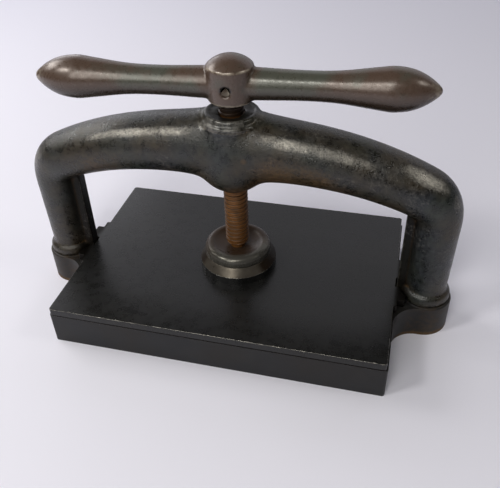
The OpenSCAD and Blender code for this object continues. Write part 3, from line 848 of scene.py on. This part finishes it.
# %% Neck and tenon
LATHE_STEPS = 48
NECK_R = 5.5 * MM
BUTTON_R = 7.3 * MM
BUTTON_T = 2.4 * MM
BUTTON_EDGE = 0.3 * MM
TENON_R = 7 * MM
LAP = 0.2 * MM


def add_lathe(work, profile):
    """Adds a closed turned solid: radius and height from bottom to top, on the axis at both ends."""
    angles = [2 * math.pi * k / LATHE_STEPS for k in range(LATHE_STEPS)]
    rings = []
    for r, z in profile:
        if r == 0:
            rings.append([work.verts.new((0, 0, z))])
        else:
            rings.append([work.verts.new((r * math.cos(a), r * math.sin(a), z)) for a in angles])
    for low, high in zip(rings, rings[1:]):
        for k in range(LATHE_STEPS):
            n = (k + 1) % LATHE_STEPS
            corners = [low[k % len(low)], low[n % len(low)], high[n % len(high)], high[k % len(high)]]
            work.faces.new(list(dict.fromkeys(corners)))


foot, top = screw_low.z, screw_high.z
add_lathe(work, [
    (0, foot), (BUTTON_R - BUTTON_EDGE, foot), (BUTTON_R, foot + BUTTON_EDGE), (BUTTON_R, foot + BUTTON_T),
    (NECK_R, foot + BUTTON_T), (NECK_R, thread_low + LAP), (0, thread_low + LAP)])
add_lathe(work, [(0, thread_high - LAP), (TENON_R, thread_high - LAP), (TENON_R, top), (0, top)])
screw_mesh = bpy.data.meshes.new("screw_thread")
work.to_mesh(screw_mesh)
work.free()
print("screw points:", len(screw_mesh.vertices))

# %% [markdown]
# ## Rusty steel
#
# The screw is cut steel that was oiled more often than it was cleaned. The eye gets orange-brown crests and
# roots with a dull sheen, and a dark line at each flank, partly grease and partly painted shade. Above the
# boss, under the hub, the thread is painted dark all over: painted shade. The grit of rust is about 0.1 mm,
# too fine for this picture, so it is drawn nine times coarser.

# %% Screw finish
RUST_CLOUD_MM = 7
GRIT_MM = 0.9
GRIT_HEIGHT_MM = 0.05
HUB_SHADE_START = 160 * MM
HUB_SHADE_FULL = 168 * MM
ROUNDED = math.radians(40)

rusty_steel, tree, shader, place = new_finish("oiled_rusty_steel")
groove = add(tree, "Attribute", attribute_name="groove", out="Fac")
cloud = add(tree, "TexNoise", {
    "Vector": place, "Scale": per_mm(RUST_CLOUD_MM), "Detail": 5, "Roughness": 0.65})
grit = add(tree, "TexNoise", {"Vector": place, "Scale": per_mm(GRIT_MM), "Detail": 3})
height = add(tree, "SeparateXYZ", {0: place}, out="Z")
# Painted shade under the hub: the thread gets darker above the boss.
under_hub_shade = add(tree, "MapRange", {"Value": height, "From Min": HUB_SHADE_START, "From Max": HUB_SHADE_FULL})
grease_and_hub_shade = add(tree, "Math", {0: groove, 1: under_hub_shade}, operation="MAXIMUM")
thread_grease_and_shade = add(tree, "MapRange", {"Value": grease_and_hub_shade, "From Min": 0.2, "From Max": 1, "To Max": 0.95})
patchy = add(tree, "MapRange", {"Value": cloud, "From Min": 0.35, "From Max": 0.65})
colour = add(tree, "Mix", {SHARE: patchy, UNDER: linear("#86592b"), OVER: linear("#64421f")}, **COLOURS)
# The dark of grease and of painted shade.
colour = add(tree, "Mix", {SHARE: thread_grease_and_shade, UNDER: colour, OVER: linear("#241a13")}, **COLOURS)
rough = add(tree, "MapRange", {
    "Value": cloud, "From Min": 0.3, "From Max": 0.7, "To Min": 0.36, "To Max": 0.56})
bump = add(tree, "Bump", {"Height": grit, "Distance": GRIT_HEIGHT_MM * MM, "Strength": 1})
plug(tree, shader, {"Base Color": colour, "Roughness": rough, "Metallic": 0.3, "Normal": bump})
new_piece("screw_thread", screw_mesh, "spindle", rusty_steel, ["screw"])
screw_mesh.set_sharp_from_angle(angle=ROUNDED)
print("finish:", rusty_steel.name)

# %% [markdown]
# ## The handle
#
# The handle is one casting, filed smooth: a bar that swells into a domed hub. It is remeshed and relaxed
# like the arch, but for fewer rounds, and the hub keeps its shape. A pin crosses the hub, and the hole round
# it is painted dark, a painted shadow that is strongest in its upper part. The other values say where hands
# hold the bar, where they rub it, and where shade is painted underneath.

# %% Handle
HANDLE_SQUARE = 0.8 * MM
HUB_R = 17.2 * MM

handle_mesh = remeshed(joined_mesh("handle"), HANDLE_SQUARE)
points = per_point(handle_mesh, "co")
on_hub = ramp(np.hypot(points[:, 0], points[:, 1]), HUB_R + 2.8 * MM, HUB_R)
points = relaxed(handle_mesh, points, rounds=2)
points = relaxed(handle_mesh, points, rounds=16, share=1 - on_hub)
move_points(handle_mesh, points)
# The edge band is drawn wide, so the worn edge at the dome is partly a painted highlight.
mark_relief(handle_mesh, rounds=20, low=0.14, high=0.6, dip=0.14)
print("handle points:", len(points))

# %% Marks on the handle
HANDLE_TURN = math.radians(4.9)
PIN_TURN = math.radians(2.5)
HOLE_R = 3.9
# How much of the painted shadow stays in the lower part of the hole.
HOLE_SHADOW_BELOW = 0.35
UNDERSIDE_SHADE = 0.9
RUBBED_TIPS = 0.45

across = Vector((math.sin(PIN_TURN), -math.cos(PIN_TURN), 0))
pin_low, pin_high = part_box("cross_pin")
pin_middle = (pin_low + pin_high) / 2
offset = (points - np.array(pin_middle)) / MM
from_pin = np.linalg.norm(np.cross(offset, np.array(across)), axis=1)
# Painted shadow: the hub round the pin is painted nearly black, most in the hole's upper part.
hole_shadow = ramp(from_pin, HOLE_R + 0.7, HOLE_R) * np.maximum(HOLE_SHADOW_BELOW, ramp(offset[:, 2], -1.5, 0.5))
along_bar = np.abs(points[:, 0] * math.cos(HANDLE_TURN) + points[:, 1] * math.sin(HANDLE_TURN)) / MM
store(handle_mesh, "painted_hole_shadow", hole_shadow)
store(handle_mesh, "by_pin", ramp(from_pin, 8, 6))
# Painted shade: the more a place faces down, the darker it is painted.
store(handle_mesh, "under", UNDERSIDE_SHADE * ramp(per_point(handle_mesh, "normal")[:, 2], 0.25, -0.45))
store(handle_mesh, "rubbed_and_sheen", RUBBED_TIPS * ramp(along_bar, 122, 136))
store(handle_mesh, "grip", np.maximum(ramp(along_bar, 55, 100), ramp(along_bar, 24, 17)))
print("points in the pin's hole:", (hole_shadow > 0).sum())

# %% [markdown]
# The handle has no japan left. It is bare iron under a thin patina, polished by hands: the eye gets a smooth
# grey-green metal with a soft sheen, browner on the grips and the hub, and dark with dirt in its hollows.
# It is darker underneath, which is painted shade, and the hole round the pin is painted nearly black, which
# is painted shadow. It is bright at the tips and where the dome meets the hub's side; there the worn edge is
# drawn wide, so it is partly a painted highlight. Scratches of hand polish are far too fine to show, so a
# fleck of 3 mm stands for them.

# %% Handle finish
PATINA_CLOUD_MM = 26
POLISH_MM = 3
POLISH_HEIGHT_MM = 0.04
GRIP_BROWN = 0.22
HANDLE_MARKS = ("edge", "nook", "under", "rubbed_and_sheen", "grip", "painted_hole_shadow", "by_pin")

hand_polished, tree, shader, place = new_finish("hand_polished_iron")
edge, nook, under, rubbed_and_sheen, grip, painted_hole_shadow, by_pin = (
    add(tree, "Attribute", attribute_name=mark, out="Fac") for mark in HANDLE_MARKS)
cloud = add(tree, "TexNoise", {
    "Vector": place, "Scale": per_mm(PATINA_CLOUD_MM), "Detail": 5, "Roughness": 0.6})
fleck = add(tree, "TexNoise", {"Vector": place, "Scale": per_mm(POLISH_MM), "Detail": 2})
held = add(tree, "Math", {0: grip, 1: GRIP_BROWN, 2: cloud}, operation="MULTIPLY_ADD")
patchy = add(tree, "MapRange", {"Value": held, "From Min": 0.46, "From Max": 0.68})
# Dirt in the hollows, and painted shade underneath.
dirt_and_shade = add(tree, "Math", {0: nook, 1: under}, operation="MAXIMUM")
sharp_edge = add(tree, "Math", {0: edge, 1: by_pin}, operation="SUBTRACT", use_clamp=True)
handled = add(tree, "Math", {0: sharp_edge, 1: rubbed_and_sheen}, operation="MAXIMUM")
flecked = add(tree, "Math", {0: handled, 1: fleck}, operation="MULTIPLY")
worn = add(tree, "MapRange", {"Value": flecked, "From Min": 0.12, "From Max": 0.45, "To Max": 0.85})
colour = linear("#525349")
# Over the patina: browner grips, dirt and painted shade, the painted shadow in the pin's hole, and worn
# metal.
for share, over in ((patchy, "#58473c"), (dirt_and_shade, "#2a1f17"), (painted_hole_shadow, "#0d0a08"), (worn, "#b8ad9b")):
    colour = add(tree, "Mix", {SHARE: share, UNDER: colour, OVER: linear(over)}, **COLOURS)
rough = add(tree, "MapRange", {
    "Value": fleck, "From Min": 0.3, "From Max": 0.7, "To Min": 0.24, "To Max": 0.36})
bump = add(tree, "Bump", {"Height": fleck, "Distance": POLISH_HEIGHT_MM * MM, "Strength": 1})
plug(tree, shader, {
    "Base Color": colour, "Roughness": rough, "Metallic": 0.2, "Normal": bump, "Specular IOR Level": 0.8})
new_piece("bar_handle", handle_mesh, "spindle", hand_polished, ["handle"])
print("finish:", hand_polished.name)

# %% [markdown]
# ## Fasteners
#
# Studs, washers, nuts, screws and the hidden pieces of the collar are plain turned steel. The eye gets a
# dull grey with brown spots, and a narrow bevel catches the light on their corners. They share one finish
# and one loop.

# %% Fasteners
FASTENER_ENDINGS = ("stud", "washer", "nut", "flange_screw", "thrust_disc", "keeper")
FASTENER_BEVEL = 0.2 * MM

dull_steel = turned_iron(
    "dull_spotted_steel", "#7d766b", "#4a3f34", metallic=0.65, roughness=0.42, specular=0.5,
    ring_mm=2.51, ring_height_mm=0.01, stain_mm=9)
for node in nodes:
    if node.endswith(FASTENER_ENDINGS):
        body = nodes[node]["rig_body"]
        bevelled_piece(node, node + "_worn", body, dull_steel, FASTENER_BEVEL)

# %% [markdown]
# ## The pin
#
# The pin was cut off short by hand. Its front end sits a little way inside its hole, leans back, and narrows
# to a blunt point at the top, with a V-shaped face. A row of points is cut where the V folds, and then only
# the points of the front end are moved. The right half of the face is painted bare and bright, a painted
# highlight, and the left half stained dark, painted shade.

# %% Pin
PIN_BEVEL = 0.15 * MM
FOLD_LEFT = 0.6 * MM
FRONT_FROM = 10 * MM
SHORTER = 1.1 * MM
LEAN = 0.3
V_SLOPE = 0.35
NARROWED = 0.8
NARROW_FROM = -0.2
LOWERED = 0.13
SHADED_LEFT, HIGHLIT_RIGHT = -0.4, 1

aside = Vector((0, 0, 1)).cross(across)
pin_mesh = bevelled_mesh("cross_pin", PIN_BEVEL)
cut_row(pin_mesh, pin_middle - FOLD_LEFT * aside, aside)
points = per_point(pin_mesh, "co")
forward, sideways, rise = (
    (points - np.array(pin_middle)) @ np.array(way) for way in (across, aside, (0, 0, 1)))
front_end = forward > FRONT_FROM
pulled_back = SHORTER + LEAN * rise - V_SLOPE * np.abs(sideways + FOLD_LEFT)
narrower = NARROWED * ramp(rise, NARROW_FROM * rise.max(), rise.max())
points[:, 2] -= np.where(front_end, LOWERED * (rise + rise.max()), 0)
points -= np.where(front_end, narrower * sideways, 0)[:, None] * np.array(aside)
points -= np.where(front_end, pulled_back, 0)[:, None] * np.array(across)
# Painted highlight on the right half of the face, painted shade on the left.
store(pin_mesh, "bare_and_sheen", SHADED_LEFT + (HIGHLIT_RIGHT - SHADED_LEFT) * ramp(sideways, 0, 2 * MM))
move_points(pin_mesh, points)
new_piece("slant_cut_pin", pin_mesh, "spindle", dull_steel, ["cross_pin"])
pin_mesh.set_sharp_from_angle(angle=ROUNDED)
print("pin points moved:", front_end.sum())
